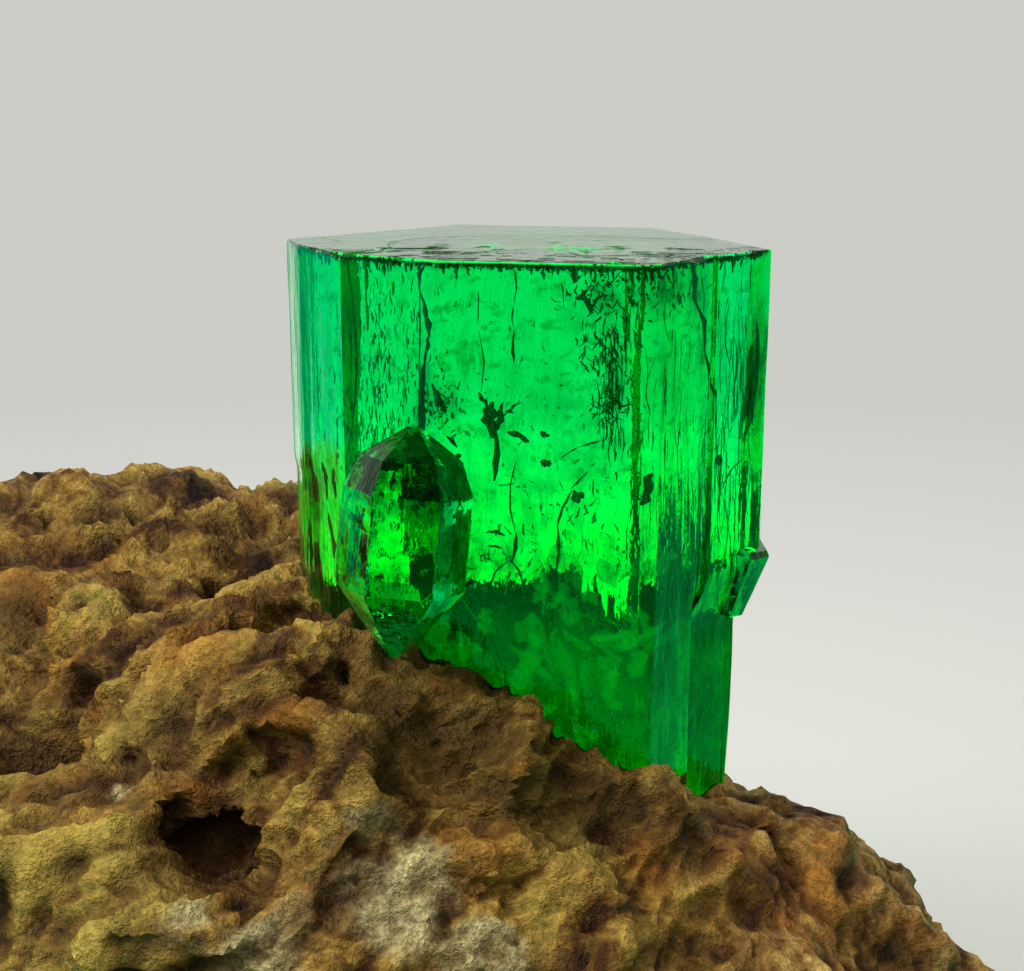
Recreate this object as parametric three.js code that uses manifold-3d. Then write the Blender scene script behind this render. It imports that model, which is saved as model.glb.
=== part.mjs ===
// Emerald crystals on a loose piece of brown matrix rock. Millimetres, +Z up.
// The origin is on the rock's flat base. -Y is the front, which shows the small crystal.
import * as THREE from "three";
import { ConvexGeometry } from "three/addons/geometries/ConvexGeometry.js";
import { mergeVertices } from "three/addons/utils/BufferGeometryUtils.js";
import Module from "manifold-3d";

// Driving dimensions
const SPECIMEN_HEIGHT = 26; // flat base to the large crystal's top face
const AXIS_X = 4; // the large crystal's upright axis
const AXIS_Y = 0.5;
const SOCKET_GAP = 0.3; // clearance between the crystals and the socket they stand in
const ROOT_MID_HEIGHT = 11.3; // the slanting underside of the large crystal, at its axis
const ROOT_FALL_RIGHT = 0.42; // the underside falls this much per millimetre towards +X
const ROOT_FALL_BACK = 0.16; // and this much towards +Y
const ROCK_CENTRE = new THREE.Vector3(-0.5, -0.5, 7); // the rock is seen as radii from here
const ROCK_DETAIL = 20; // each icosahedron edge is parted this many times and once more
const ROCK_SMOOTHING = 24; // higher keeps each surface point's pull more local
const SAW_BLOCK = 60; // side of the block taken off below the base
const SAW_DEPTH = 12; // and its depth
const LAYER_ROOT = 0.35; // growth layers reach this far into the face they stand on

// Points that the rock's surface passes through, before its lumps and pits
const ROCK_SURFACE = [
  // top, from the back left round to the crystal's right
  [-8, 9.5, 16.9], [-13, 8.5, 17], [-3, 9.5, 17.6], [-16.6, 3, 15.6],
  [-8, 0.5, 16.4], [-2, 1.5, 16.7], [2.5, 7.4, 15.9], [6.6, 6.8, 14.8],
  [7.6, 5.6, 12.8], [9.5, 1.2, 10.3], [10.2, 3.2, 8.2], [11, 5.2, 7],
  [4, -0.5, 14.2], [0.6, -4.6, 16.7], [4, -5.6, 14.9], [6.7, -5.5, 13.4],
  [9.7, -1.7, 11.7], [11.9, -0.3, 11.4],
  // front slope
  [-5, -3.5, 15.6], [-5, -7, 13.9], [-5, -10, 11.6], [-4, -12.6, 8], [-4, -13.4, 2],
  [1, -7.5, 14.2], [4, -9, 12], [5, -11.6, 8], [6, -12.4, 2],
  [10, -5.5, 10.4], [12.6, -6.5, 7.4], [12.8, -7.6, 2],
  // right flank
  [14.3, -0.4, 9.9], [15.3, -0.4, 7.6], [15.3, -0.5, 2], [11.9, 6, 5], [12.4, 7.2, 2.2],
  // left flank
  [-17.4, -0.5, 10], [-16.6, -0.5, 2], [-12.6, -7.2, 12], [-12.8, -8.2, 4],
  [-15.2, 8.6, 13.5], [-14.8, 8.6, 4],
  // back
  [-8, 12.8, 14], [-8, 13.6, 4], [4, 10.6, 11.5], [4, 12.2, 3.5], [8.6, 8.8, 7.5],
];

// The rock's lumps, sharp ridges and ledges: how high they stand and how far apart
const LUMPS = [
  { height: 0.7, size: 4.6, seed: 1 },
  { height: 0.5, size: 2.3, seed: 2 },
  { height: 0.25, size: 1.5, seed: 5 },
];
const RIDGES = { rise: 0.5, height: 1.1, size: 3.4 };
const LEDGES = { height: 0.3, size: 3.1, steepness: 6 };

// Holes and hollows in the rock: a place on the surface, then width and depth
const ROCK_PITS = [
  // front and left
  { at: [-2.8, -7.9, 14.1], width: 1.0, depth: 1.7 },
  { at: [-3.7, -7.6, 14.5], width: 0.8, depth: 1.2 },
  { at: [-3.2, -6.6, 15.1], width: 1.0, depth: 0.8 },
  { at: [-8.2, -4.1, 14.0], width: 1.3, depth: 1.3 },
  { at: [-6.9, -3.0, 15.7], width: 0.6, depth: 0.7 },
  { at: [-4.3, 1.4, 16.8], width: 0.6, depth: 0.8 },
  { at: [-3.0, -2.8, 17.0], width: 0.6, depth: 0.7 },
  { at: [-7.4, -0.8, 16.9], width: 0.9, depth: 0.9 },
  { at: [-0.8, -5.2, 16.2], width: 0.6, depth: 0.6 },
  { at: [-13, -1.5, 12.5], width: 1.4, depth: 1.1 },
  // right
  { at: [8.0, -5.6, 13.1], width: 0.8, depth: 1.0 },
  { at: [10.0, -3.5, 11.6], width: 0.7, depth: 0.8 },
  { at: [12.6, 4.5, 7.4], width: 1.2, depth: 1.0 },
  // back
  { at: [-2, 12.4, 9.5], width: 1.7, depth: 1.4 },
  { at: [-11, 11.2, 9], width: 1.3, depth: 1.1 },
];

// The large crystal's outline seen from above, about its axis, from the right corner
// anticlockwise: six prism faces, with narrow faces on the left and front left edges
const PRISM_PLAN = [
  [5.85, -1.45], [4.85, 1.9], [3.6, 4.95], [-1.9, 6.1], [-6.15, 1.5], [-5.65, -0.1],
  [-4.38, -2.4], [-2.05, -4.1], [2.55, -5.05], [2.95, -4.75], [4.3, -2.85], [4.42, -2.9],
];

const wasm = await Module();
wasm.setup();

function solidFrom(geometry) {
  const bare = geometry.clone();
  bare.deleteAttribute("normal");
  bare.deleteAttribute("uv");
  const merged = mergeVertices(bare, 1e-4);
  return new wasm.Manifold(
    new wasm.Mesh({
      numProp: 3,
      vertProperties: merged.attributes.position.array,
      triVerts: new Uint32Array(merged.index.array),
    }),
  );
}

function geometryFrom(solid) {
  const mesh = solid.getMesh();
  return new THREE.BufferGeometry()
    .setAttribute("position", new THREE.BufferAttribute(mesh.vertProperties, mesh.numProp))
    .setIndex(new THREE.BufferAttribute(mesh.triVerts, 1));
}

// Smooth noise from -1 to 1: random values at whole-number points, blended between them
function latticeValue(x, y, z, seed) {
  let h = Math.imul(x, 374761393) ^ Math.imul(y, 668265263) ^ Math.imul(z, 1440662683);
  h = Math.imul(h ^ Math.imul(seed, 1013904223), 1274126177);
  h = Math.imul(h ^ (h >>> 15), 2246822519);
  return ((h ^ (h >>> 13)) >>> 0) / 2147483648 - 1;
}

function noise(p, scale, seed) {
  const at = [p.x / scale, p.y / scale, p.z / scale];
  const low = at.map(Math.floor);
  const share = at.map((v, i) => {
    const t = v - low[i];
    return t * t * t * (t * (t * 6 - 15) + 10);
  });
  let sum = 0;
  for (let corner = 0; corner < 8; corner++) {
    const step = [corner & 1, (corner >> 1) & 1, corner >> 2];
    const weight = step.reduce((w, s, i) => w * (s ? share[i] : 1 - share[i]), 1);
    sum += weight * latticeValue(low[0] + step[0], low[1] + step[1], low[2] + step[2], seed);
  }
  return sum;
}

// The rock's radius in a direction, blended from the surface points. The pulls are
// corrected a few times so that the surface passes close to every point.
function rockBlend() {
  const arms = ROCK_SURFACE.map((p) => new THREE.Vector3(...p).sub(ROCK_CENTRE));
  const reach = arms.map((a) => a.length());
  const toward = arms.map((a) => a.clone().normalize());
  const pull = [...reach];
  const blend = (direction) => {
    let sum = 0;
    let weights = 0;
    toward.forEach((d, i) => {
      const weight = Math.exp(ROCK_SMOOTHING * (direction.dot(d) - 1));
      sum += weight * pull[i];
      weights += weight;
    });
    return sum / weights;
  };
  for (let round = 0; round < 6; round++) {
    const error = toward.map((d, i) => reach[i] - blend(d));
    error.forEach((e, i) => (pull[i] += e));
  }
  return blend;
}

// Lumps, ribs and ledges that stand out of the smooth form, and the pits sunk in it
function rockRelief(p) {
  const slanted = new THREE.Vector3(p.x - 0.6 * p.z, 1.6 * p.y, p.z + 0.6 * p.x);
  const lumps = LUMPS.reduce((sum, l) => sum + l.height * noise(p, l.size, l.seed), 0);
  const ridges = RIDGES.rise - RIDGES.height * Math.abs(noise(slanted, RIDGES.size, 3));
  const ledges = LEDGES.height * Math.tanh(LEDGES.steepness * noise(p, LEDGES.size, 4));
  return lumps + ridges + ledges;
}

function rockPits(p) {
  let sunk = 0;
  for (const { at, width, depth } of ROCK_PITS) {
    const away = p.distanceTo(new THREE.Vector3(...at)) / width;
    sunk += depth * Math.exp(-(away ** 4));
  }
  return sunk;
}

function matrixRock() {
  const sphere = new THREE.IcosahedronGeometry(1, ROCK_DETAIL);
  sphere.deleteAttribute("normal");
  sphere.deleteAttribute("uv");
  const geometry = mergeVertices(sphere, 1e-4);
  const blend = rockBlend();
  const places = geometry.attributes.position;
  for (let i = 0; i < places.count; i++) {
    const direction = new THREE.Vector3().fromBufferAttribute(places, i).normalize();
    const smooth = blend(direction);
    const point = direction.clone().multiplyScalar(smooth).add(ROCK_CENTRE);
    const radius = smooth + rockRelief(point) - rockPits(point);
    point.copy(direction).multiplyScalar(radius).add(ROCK_CENTRE);
    places.setXYZ(i, point.x, point.y, point.z);
  }
  const sawn = new THREE.BoxGeometry(SAW_BLOCK, SAW_BLOCK, SAW_DEPTH);
  sawn.translate(0, 0, -SAW_DEPTH / 2);
  return solidFrom(geometry).subtract(solidFrom(sawn));
}

// A solid whose skin runs through rings of points, each ring anticlockwise from above
function loft(rings) {
  const count = rings[0].length;
  const index = [];
  for (let r = 0; r + 1 < rings.length; r++)
    for (let i = 0; i < count; i++) {
      const j = (i + 1) % count;
      const [a, b] = [r * count + i, r * count + j];
      index.push(a, b, b + count, a, b + count, a + count);
    }
  const top = (rings.length - 1) * count;
  for (let i = 1; i + 1 < count; i++) {
    index.push(0, i + 1, i);
    index.push(top, top + i, top + i + 1);
  }
  const geometry = new THREE.BufferGeometry();
  geometry.setAttribute("position", new THREE.Float32BufferAttribute(rings.flat(2), 3));
  geometry.setIndex(index);
  return geometry;
}

// The large crystal: a flat-topped six-sided prism on a slanting root. Below the side
// shard its right edge is broken back. Grow widens it all round for the socket.
function largeCrystal(grow = 0) {
  const ring = (height, rightInset, leftInset) =>
    PRISM_PLAN.map(([x, y]) => {
      const reach = Math.hypot(x, y);
      const wider = (reach + grow) / reach;
      const inset = x > 4 ? rightInset : x < -5 ? -leftInset : 0;
      return [AXIS_X + x * wider - inset, AXIS_Y + y * wider, height];
    });
  const root = ring(0, 0.75, 0.06).map(([x, y]) => [
    x,
    y,
    ROOT_MID_HEIGHT - grow - ROOT_FALL_RIGHT * (x - AXIS_X) - ROOT_FALL_BACK * (y - AXIS_Y),
  ]);
  return loft([
    root,
    ring(15.6, 0.62, 0.06),
    ring(17.4, 0.2, 0.06),
    ring(18.4, 0, 0.06),
    ring(20.1, 0, 0.08),
    ring(20.4, 0, 0),
    ring(SPECIMEN_HEIGHT, 0, 0),
  ]);
}

// A thin growth layer on the prism face between two outline points
function growthLayer([ax, ay], [bx, by], low, high, thickness) {
  const along = new THREE.Vector2(bx - ax, by - ay).normalize();
  const out = new THREE.Vector2(along.y, -along.x).multiplyScalar(thickness);
  const inward = out.clone().setLength(LAYER_ROOT).negate();
  const corners = [
    [ax + inward.x, ay + inward.y],
    [ax + out.x, ay + out.y],
    [bx + out.x, by + out.y],
    [bx + inward.x, by + inward.y],
  ].map(([x, y]) => [AXIS_X + x, AXIS_Y + y]);
  return loft([
    corners.map(([x, y]) => [x, y, low]),
    corners.map(([x, y]) => [x, y, high]),
  ]);
}

function growthLayers() {
  return [
    growthLayer([-3.9, -2.75], [-2.5, -3.77], 14.5, 25.6, 0.07),
    growthLayer([-1.2, -4.28], [1.1, -4.75], 17.9, 25.9, 0.05),
    growthLayer([3.15, -4.47], [4.1, -3.13], 18.5, 25.3, 0.08),
    growthLayer([4.7, -2.6], [5.4, -1.9], 18.6, 25.7, 0.06),
    growthLayer([5.5, -0.4], [4.9, 1.75], 18.7, 24.6, 0.09),
    growthLayer([4.4, 2.9], [3.75, 4.6], 18.6, 25.2, 0.08),
    growthLayer([2.6, 5.15], [0.2, 5.66], 13.5, 25.4, 0.08),
    growthLayer([-2.6, 5.34], [-4.6, 3.16], 14.5, 24.9, 0.09),
  ];
}

// Low terraces on the top face, with the same six sides as the prism
function topTerraces() {
  const terrace = (cx, cy, size, rise) => {
    const ring = (height) =>
      PRISM_PLAN.map(([x, y]) => [
        AXIS_X + cx + x * size,
        AXIS_Y + cy + y * size,
        height,
      ]);
    return loft([ring(SPECIMEN_HEIGHT - 0.3), ring(SPECIMEN_HEIGHT + rise)]);
  };
  return [terrace(0.5, 0.4, 0.62, 0.05), terrace(-1.1, 1.2, 0.3, 0.1), terrace(2.4, -1.5, 0.2, 0.09)];
}

// A barrel-shaped six-sided crystal: rings of one outline, scaled, hulled and tilted
function barrelCrystal({ outline, levels, tilt, at }, grow = 0) {
  const points = levels.flatMap(([height, scale]) =>
    outline.map(([x, y]) => {
      const reach = Math.hypot(x, y) * scale;
      const wider = reach > 0 ? (reach + grow) / reach : 1;
      return new THREE.Vector3(
        x * scale * wider,
        y * scale * wider,
        height + Math.sign(height) * grow,
      );
    }),
  );
  const [tiltX, tiltY, turn] = tilt.map(THREE.MathUtils.degToRad);
  return new ConvexGeometry(points)
    .rotateZ(turn)
    .rotateX(tiltX)
    .rotateY(tiltY)
    .translate(...at);
}

// The small crystal on the front left face, blunt at both ends
const SMALL_CRYSTAL = {
  outline: [
    [1.5, -0.1], [0.8, 1.25], [-0.7, 1.35], [-1.5, 0.1], [-0.8, -1.25], [0.7, -1.35],
  ],
  levels: [
    [-2.75, 0.1], [-1.9, 0.58], [-1.1, 1], [1.15, 1], [1.9, 0.78], [2.35, 0.34], [2.6, 0.1],
  ],
  tilt: [-5, 5.5, 3],
  at: [1.2, -4.35, 19.75],
};

// The broken shard that stands out of the right edge
const SIDE_SHARD = {
  outline: [
    [0.6, -0.1], [0.3, 0.85], [-0.6, 0.7], [-0.7, -0.6], [0.2, -0.85],
  ],
  levels: [[-0.85, 0.72], [0.85, 1], [0.98, 0.84]],
  tilt: [4, 15, -12],
  at: [9.3, -0.85, 17.75],
};

// Notches broken out of the crystals' edges: place and half sizes
const CHIPS = [
  { at: [-2.0, -4.25, 26], half: [0.34, 0.25, 0.16] },
  { at: [-1.35, -4.4, 26.02], half: [0.3, 0.14, 0.1] },
  { at: [1.3, -4.95, 26.02], half: [0.22, 0.12, 0.07] },
  { at: [-6.2, 1.4, 20.2], half: [0.16, 0.4, 0.35] },
  { at: [5.3, 0.6, 26], half: [0.2, 0.35, 0.13] },
  { at: [0.8, 5.6, 26], half: [0.45, 0.22, 0.14] },
  { at: [-4.1, 3.8, 26], half: [0.25, 0.3, 0.12] },
  { at: [3.7, 5.0, 17.2], half: [0.35, 0.3, 0.9] },
];

function chip({ at: [x, y, z], half: [a, b, c] }) {
  return new THREE.OctahedronGeometry(1, 0)
    .rotateZ(0.4)
    .scale(a, b, c)
    .translate(AXIS_X + x, AXIS_Y + y, z);
}

function join(solids) {
  return solids.reduce((whole, next) => whole.add(next));
}

function emeraldCrystals() {
  const grown = join([
    solidFrom(largeCrystal()),
    ...growthLayers().map(solidFrom),
    ...topTerraces().map(solidFrom),
    solidFrom(barrelCrystal(SMALL_CRYSTAL)),
    solidFrom(barrelCrystal(SIDE_SHARD)),
  ]);
  return grown.subtract(join(CHIPS.map((c) => solidFrom(chip(c)))));
}

function socket() {
  return join([
    solidFrom(largeCrystal(SOCKET_GAP)),
    solidFrom(barrelCrystal(SMALL_CRYSTAL, SOCKET_GAP)),
    solidFrom(barrelCrystal(SIDE_SHARD, SOCKET_GAP)),
  ]);
}

function node(name, solid, colour, roughness) {
  const material = new THREE.MeshStandardMaterial({ color: colour, roughness, metalness: 0 });
  material.flatShading = true;
  const mesh = new THREE.Mesh(geometryFrom(solid), material);
  mesh.name = name;
  return mesh;
}

const specimen = new THREE.Group();
specimen.add(node("matrix_rock", matrixRock().subtract(socket()), 0x8a7347, 0.85));
specimen.add(node("emerald_crystals", emeraldCrystals(), 0x00b050, 0.08));

export default specimen;
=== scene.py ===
import math

import bpy
import numpy as np
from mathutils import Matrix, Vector


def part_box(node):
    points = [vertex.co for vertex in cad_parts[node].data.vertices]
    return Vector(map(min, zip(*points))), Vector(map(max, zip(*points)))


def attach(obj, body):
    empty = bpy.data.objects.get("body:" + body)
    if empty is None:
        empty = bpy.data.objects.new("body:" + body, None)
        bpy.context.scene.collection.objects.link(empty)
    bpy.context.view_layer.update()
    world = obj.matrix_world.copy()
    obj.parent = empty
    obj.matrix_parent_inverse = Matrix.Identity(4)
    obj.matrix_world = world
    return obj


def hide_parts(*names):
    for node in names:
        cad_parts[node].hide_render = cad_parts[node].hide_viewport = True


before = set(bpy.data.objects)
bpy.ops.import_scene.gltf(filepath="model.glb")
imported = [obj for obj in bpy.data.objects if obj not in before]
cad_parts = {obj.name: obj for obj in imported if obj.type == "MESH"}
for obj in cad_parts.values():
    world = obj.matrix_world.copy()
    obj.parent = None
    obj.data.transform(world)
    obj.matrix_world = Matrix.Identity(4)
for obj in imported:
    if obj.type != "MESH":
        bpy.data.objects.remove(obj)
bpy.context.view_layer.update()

# Shapes are worked out in millimetres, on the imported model's own axes, and MM takes
# them to Blender's metres.
MM = 0.001
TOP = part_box("emerald_crystals")[1][2] / MM - 0.1  # the top face, under its terraces
AXIS = np.array([4.0, 0.5])  # the large crystal's upright axis


# Objects, and meshes from grids

def placed(name, data):
    """A new object in the scene, with its mesh, light or camera."""
    obj = bpy.data.objects.new(name, data)
    bpy.context.scene.collection.objects.link(obj)
    return obj


def mesh_object(name, points, quads, triangles):
    """One object from points in millimetres and lists of four and three corners."""
    mesh = bpy.data.meshes.new(name)
    corners = np.concatenate([quads.ravel(), triangles.ravel()]).astype(np.int32)
    sizes = np.concatenate([np.full(len(quads), 4), np.full(len(triangles), 3)])
    starts = np.concatenate([[0], np.cumsum(sizes)[:-1]]).astype(np.int32)
    mesh.vertices.add(len(points))
    mesh.vertices.foreach_set("co", (points * MM).astype(np.float32).ravel())
    mesh.loops.add(len(corners))
    mesh.loops.foreach_set("vertex_index", corners)
    mesh.polygons.add(len(sizes))
    mesh.polygons.foreach_set("loop_start", starts)
    mesh.update(calc_edges=True)
    mesh.validate()
    return placed(name, mesh)


def ring_faces(count, columns):
    """The numbers of the points of some rings, those of each one's next point round its
    ring, and the four-cornered faces between neighbouring rings."""
    index = np.arange(count * columns).reshape(count, columns)
    after = np.roll(index, -1, axis=1)
    quads = np.stack([index[:-1], after[:-1], after[1:], index[1:]], axis=-1).reshape(-1, 4)
    return index, after, quads


def closed_rings(name, rings):
    """A closed skin through rings of equal length, each seen anticlockwise from the
    side that the last ring is on, with one point at the middle of both end rings."""
    count, columns = rings.shape[:2]
    index, after, quads = ring_faces(count, columns)
    first = count * columns
    low_fan = np.stack([np.full(columns, first), after[0], index[0]], axis=-1)
    high_fan = np.stack([np.full(columns, first + 1), index[-1], after[-1]], axis=-1)
    middles = np.stack([rings[0].mean(axis=0), rings[-1].mean(axis=0)])
    points = np.concatenate([rings.reshape(-1, 3), middles])
    return mesh_object(name, points, quads, np.concatenate([low_fan, high_fan]))


def set_attribute(obj, name, values):
    """One number per vertex, for a material to read."""
    attribute = obj.data.attributes.new(name, "FLOAT", "POINT")
    attribute.data.foreach_set("value", values.astype(np.float32))


def smooth_with_sharp_edges(obj, degrees):
    """Smooth shading, broken where two faces meet at more than the angle."""
    obj.data.shade_smooth()
    obj.data.set_sharp_from_angle(angle=math.radians(degrees))


# Noise in millimetres

def lattice_value(x, y, z, seed):
    """A fixed random number from -1 to 1 for each whole-number point, by mixing the
    bits of its coordinates."""
    with np.errstate(over="ignore"):
        h = (x * np.uint32(374761393)) ^ (y * np.uint32(668265263)) ^ (z * np.uint32(1440662683))
        h = (h ^ np.uint32(seed * 1013904223 & 0xFFFFFFFF)) * np.uint32(1274126177)
        h = (h ^ (h >> np.uint32(15))) * np.uint32(2246822519)
        h = h ^ (h >> np.uint32(13))
    return h.astype(np.float64) / 2147483648.0 - 1.0


def noise(points, size, seed):
    """Smooth noise from -1 to 1: lattice values a size apart, blended with a curve
    whose slope is nought at each lattice point."""
    at = points / np.asarray(size, dtype=float)
    low = np.floor(at)
    share = at - low
    share = share ** 3 * (share * (share * 6 - 15) + 10)
    low = low.astype(np.int64)
    total = np.zeros(len(points))
    for corner in range(8):
        step = np.array([corner & 1, corner >> 1 & 1, corner >> 2])
        weight = np.prod(np.where(step, share, 1 - share), axis=1)
        cell = ((low + step) & 0xFFFFFFFF).astype(np.uint32)
        total += weight * lattice_value(cell[:, 0], cell[:, 1], cell[:, 2], seed)
    return total


def layered_noise(points, size, seed, layers=3):
    """Noise, with layers of half the size and half the height added to it."""
    return sum(noise(points, size / 2 ** i, seed + 10 * i) / 2 ** i for i in range(layers))


def shift(points, size, seed):
    """Noise for each of the three axes."""
    return np.stack([noise(points, size, seed + k) for k in range(3)], axis=1)


def cell_pits(points, size, seed, share):
    """Round hollows, one in some of the cubes of a lattice: 1 at each one's middle and
    0 from half a cube away."""
    at = points / size
    low = np.floor(at).astype(np.int64)
    deepest = np.zeros(len(points))
    for corner in range(27):
        step = np.array([corner % 3, corner // 3 % 3, corner // 9]) - 1
        cell = ((low + step) & 0xFFFFFFFF).astype(np.uint32)
        x, y, z = cell[:, 0], cell[:, 1], cell[:, 2]
        offset = np.stack([lattice_value(x, y, z, seed + k) for k in range(3)], axis=1)
        middle = low + step + 0.5 + 0.4 * offset
        present = lattice_value(x, y, z, seed + 3) < 2 * share - 1
        reach = 0.35 + 0.2 * lattice_value(x, y, z, seed + 4)
        away = np.linalg.norm(at - middle, axis=1) / reach
        deepest = np.maximum(deepest, np.where(present, np.clip(1 - away ** 2, 0, 1), 0))
    return deepest


# The matrix rock

ROCK_CENTRE = np.array([-0.5, -0.5, 7.0])
ROCK_SMOOTHING = 24.0
ROCK_SURFACE = np.array([
    # top, from the back left round to the crystal's right
    [-8, 9.5, 16.9], [-13, 8.5, 17], [-3, 9.5, 17.6], [-16.6, 3, 15.6],
    [-8, 0.5, 16.4], [-2, 1.5, 16.7], [2.5, 7.4, 15.9], [6.6, 6.8, 14.8],
    [7.6, 5.6, 12.8], [9.5, 1.2, 10.3], [10.2, 3.2, 8.2], [11, 5.2, 7],
    [4, -0.5, 14.2], [0.6, -4.6, 16.7], [4, -5.6, 14.9], [6.7, -5.5, 13.4],
    [9.7, -1.7, 11.7], [11.9, -0.3, 11.4],
    # front slope
    [-5, -3.5, 15.6], [-5, -7, 13.9], [-5, -10, 11.6], [-4, -12.6, 8], [-4, -13.4, 2],
    [1, -7.5, 14.2], [4, -9, 12], [5, -11.6, 8], [6, -12.4, 2],
    [10, -5.5, 10.4], [12.6, -6.5, 7.4], [12.8, -7.6, 2],
    # right flank
    [14.3, -0.4, 9.9], [15.3, -0.4, 7.6], [15.3, -0.5, 2], [11.9, 6, 5], [12.4, 7.2, 2.2],
    # left flank
    [-17.4, -0.5, 10], [-16.6, -0.5, 2], [-12.6, -7.2, 12], [-12.8, -8.2, 4],
    [-15.2, 8.6, 13.5], [-14.8, 8.6, 4],
    # back
    [-8, 12.8, 14], [-8, 13.6, 4], [4, 10.6, 11.5], [4, 12.2, 3.5], [8.6, 8.8, 7.5],
])
# Place, width and depth of each hollow; the first is a bulge beside the root
ROCK_PITS = [
    ([8.3, 4.0, 12.0], 2.8, -0.6),
    ([-2.8, -7.9, 14.1], 1.0, 1.7), ([-3.7, -7.6, 14.5], 0.8, 1.2),
    ([-3.2, -6.6, 15.1], 1.0, 0.8), ([-8.2, -4.1, 14.0], 1.3, 1.3),
    ([-6.9, -3.0, 15.7], 0.6, 0.7), ([-4.3, 1.4, 16.8], 0.6, 0.8),
    ([-3.0, -2.8, 17.0], 0.6, 0.7), ([-7.4, -0.8, 16.9], 0.9, 0.9),
    ([-0.8, -5.2, 16.2], 0.6, 0.6), ([-13, -1.5, 12.5], 1.4, 1.1),
    ([8.0, -5.6, 13.1], 0.8, 1.0), ([10.0, -3.5, 11.6], 0.7, 0.8),
    ([12.6, 4.5, 7.4], 1.2, 1.0), ([-2, 12.4, 9.5], 1.7, 1.4), ([-11, 11.2, 9], 1.3, 1.1),
]
# Small deep holes: place, width and depth
ROCK_HOLES = [
    ([-3.7, -6.9, 13.9], 0.42, 1.0), ([-3.1, -6.5, 13.4], 0.42, 1.0), ([-8.2, -4.2, 14.0], 0.5, 0.7),
    ([-7.0, -2.5, 15.5], 0.3, 0.6), ([-7.5, -0.7, 16.9], 0.24, 0.5), ([-4.4, 2.0, 16.6], 0.3, 0.6),
    ([-3.1, -2.1, 16.8], 0.28, 0.6), ([-0.2, -4.8, 16.6], 0.25, 0.5), ([-5.6, -0.5, 16.5], 0.22, 0.4),
    ([-5.2, -5.7, 15.0], 0.2, 0.3), ([8.0, -5.4, 13.1], 0.34, 0.7), ([9.9, -3.2, 11.6], 0.24, 0.5),
    ([10.6, -4.6, 10.6], 0.25, 0.4), ([5.7, -5.8, 13.2], 0.25, 0.4), ([-2.3, -5.8, 15.5], 0.2, 0.3),
]
# Place and reach of the patches where the rock's colour changes; the shaded ones are painted shade, most
# of them under the crystal.
PATCHES = {
    "quartz": [
        ([1.3, -8.8, 13.2], 1.3), ([3.0, -9.2, 12.0], 0.9), ([-1.7, -9.9, 12.5], 0.9),
        ([-2.9, -9.6, 12.9], 0.6), ([-5.0, -6.4, 14.4], 0.45), ([0.4, -7.7, 14.5], 0.5),
        ([-9.5, 3.5, 15.8], 1.0), ([12.2, 5.5, 4.5], 1.8), ([-6, 12, 11], 2.4), ([-15.5, 2, 7], 2.2),
    ],
    "ochre": [
        ([-3.6, -6.7, 14.6], 0.7), ([-1.2, -8.6, 13.9], 0.5), ([-7.4, -5.8, 13.2], 0.8),
        ([-1.3, -6.0, 15.8], 0.7), ([9.6, -5.0, 11.0], 1.5), ([-9.0, 2.0, 16.6], 1.6),
        ([-4.4, -3.4, 16.0], 0.7), ([3.0, -7.4, 13.6], 0.9), ([6, 9.5, 9], 2.2), ([-13, 6, 12], 2.0),
        ([11.1, -4.5, 10.8], 1.6), ([-3.8, -3.2, 16.9], 1.0), ([6.6, -6.2, 12.7], 0.7),
    ],
    "olive": [
        ([-5.4, -8.9, 13.1], 1.1), ([-4.6, -4.9, 15.3], 0.9), ([-2.6, -4.2, 16.4], 0.7),
        ([-8.0, -3.0, 15.0], 0.8), ([5.4, -6.6, 12.9], 0.8), ([9, 7, 8], 2.0), ([-12, -4, 12], 1.6),
        ([-5.0, -9.7, 12.9], 1.6), ([-5.1, -8.3, 14.0], 1.0), ([-6.9, -8.2, 13.2], 1.6),
        ([-8.2, -5.8, 13.9], 1.2),
    ],
    "shaded": [
        ([1.1, -5.2, 15.7], 1.6), ([2.7, -5.1, 15.1], 1.7), ([4.3, -5.7, 14.2], 1.5),
        ([0.8, -6.4, 15.0], 1.0), ([5.9, -5.4, 13.6], 1.2), ([3.6, -5.9, 14.4], 1.5),
        ([-9.4, 0.4, 16.0], 1.2), ([-4.0, -2.2, 16.4], 0.5), ([7.6, -5.4, 12.9], 0.6),
    ],
}
SINEW = np.array([0.76, 0.55, 0.35])  # the way that the rock's sinews run
FIBRE = np.array([0.58, -0.35, -0.74])  # and the combed strands on the right
ROCK_COLUMNS = 470
ROCK_POLE = np.array([4.6, -0.6, 13.0])  # the grid is finest here, where the crystals stand


def rock_blend(directions):
    """The rock's smooth radius in each direction: the surface points' radii, weighted
    by how near they are in angle, with the radii corrected so that it meets them."""
    arms = ROCK_SURFACE - ROCK_CENTRE
    reach = np.linalg.norm(arms, axis=1)
    toward = arms / reach[:, None]

    def blend(looks, pull):
        """The mean of the pulls, by nearness to each direction that is looked in."""
        weights = np.exp(ROCK_SMOOTHING * (looks @ toward.T - 1))
        return weights @ pull / weights.sum(axis=1)

    pull = reach.copy()
    for _ in range(6):
        pull += reach - blend(toward, pull)
    return blend(directions, pull)


def rock_relief(p):
    """Lumps at three sizes, sharp ridges where slanted noise crosses nought, and
    ledges where noise is pushed to its two ends."""
    slanted = np.stack([p[:, 0] - 0.6 * p[:, 2], 1.6 * p[:, 1], p[:, 2] + 0.6 * p[:, 0]], axis=1)
    lumps = 0.7 * noise(p, 4.6, 1) + 0.5 * noise(p, 2.3, 2) + 0.25 * noise(p, 1.5, 5)
    ridges = 0.5 - 1.1 * np.abs(noise(slanted, 3.4, 3))
    ledges = 0.3 * np.tanh(6 * noise(p, 3.1, 4))
    return lumps + ridges + ledges


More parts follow.
